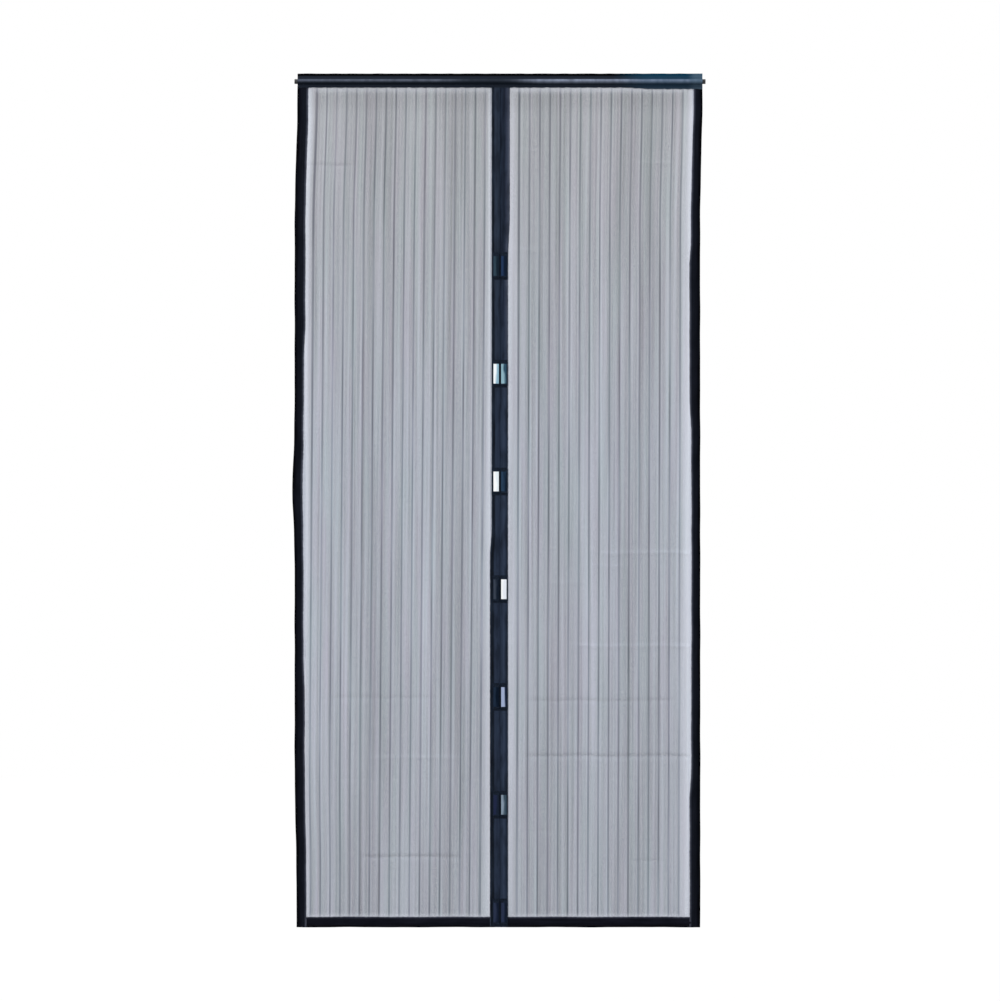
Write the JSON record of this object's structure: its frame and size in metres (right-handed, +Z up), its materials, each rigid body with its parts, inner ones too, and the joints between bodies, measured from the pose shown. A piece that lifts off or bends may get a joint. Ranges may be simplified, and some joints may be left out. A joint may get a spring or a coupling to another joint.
{
  "type": "magnetic insect screen",
  "caption": "Door curtain of striped net panels with bound edges, hung from a rod through a top sleeve and closed down the middle by bar magnets.",
  "frame": {"origin": "middle of the hanging rod's axis", "axes": "+X along the rod, to the right as seen from the front; +Z up; the front of the screen faces -Y"},
  "size_m": [1.011, 0.0138, 2.1],
  "materials": {
    "striped_net": "grey polyester net with darker woven stripes",
    "woven_tape": "black-blue woven binding tape with a slight sheen",
    "nickel_plate": "bright nickel plate",
    "black_lacquer": "glossy black lacquer",
    "black_plastic": "satin black"
  },
  "bodies": {
    "root": {"top_sleeve": "woven_tape", "hanging_rod": "black_lacquer", "rod_plug_left": "black_plastic", "rod_plug_right": "black_plastic", "net_left": "striped_net", "net_right": "striped_net", "side_binding_left": "woven_tape", "side_binding_right": "woven_tape", "bottom_binding_left": "woven_tape", "bottom_binding_right": "woven_tape", "centre_binding_left": "woven_tape", "centre_binding_right": "woven_tape", "magnet_left_1": "nickel_plate", "magnet_left_2": "nickel_plate", "magnet_left_3": "nickel_plate", "magnet_left_4": "nickel_plate", "magnet_left_5": "nickel_plate", "magnet_left_6": "nickel_plate", "magnet_left_7": "nickel_plate", "magnet_right_1": "nickel_plate", "magnet_right_2": "nickel_plate", "magnet_right_3": "nickel_plate", "magnet_right_4": "nickel_plate", "magnet_right_5": "nickel_plate", "magnet_right_6": "nickel_plate", "magnet_right_7": "nickel_plate", "magnet_pocket_left_1": "woven_tape", "magnet_pocket_left_2": "woven_tape", "magnet_pocket_left_3": "woven_tape", "magnet_pocket_left_4": "woven_tape", "magnet_pocket_left_5": "woven_tape", "magnet_pocket_left_6": "woven_tape", "magnet_pocket_left_7": "woven_tape", "magnet_pocket_right_1": "woven_tape", "magnet_pocket_right_2": "woven_tape", "magnet_pocket_right_3": "woven_tape", "magnet_pocket_right_4": "woven_tape", "magnet_pocket_right_5": "woven_tape", "magnet_pocket_right_6": "woven_tape", "magnet_pocket_right_7": "woven_tape"}
  },
  "joints": []
}
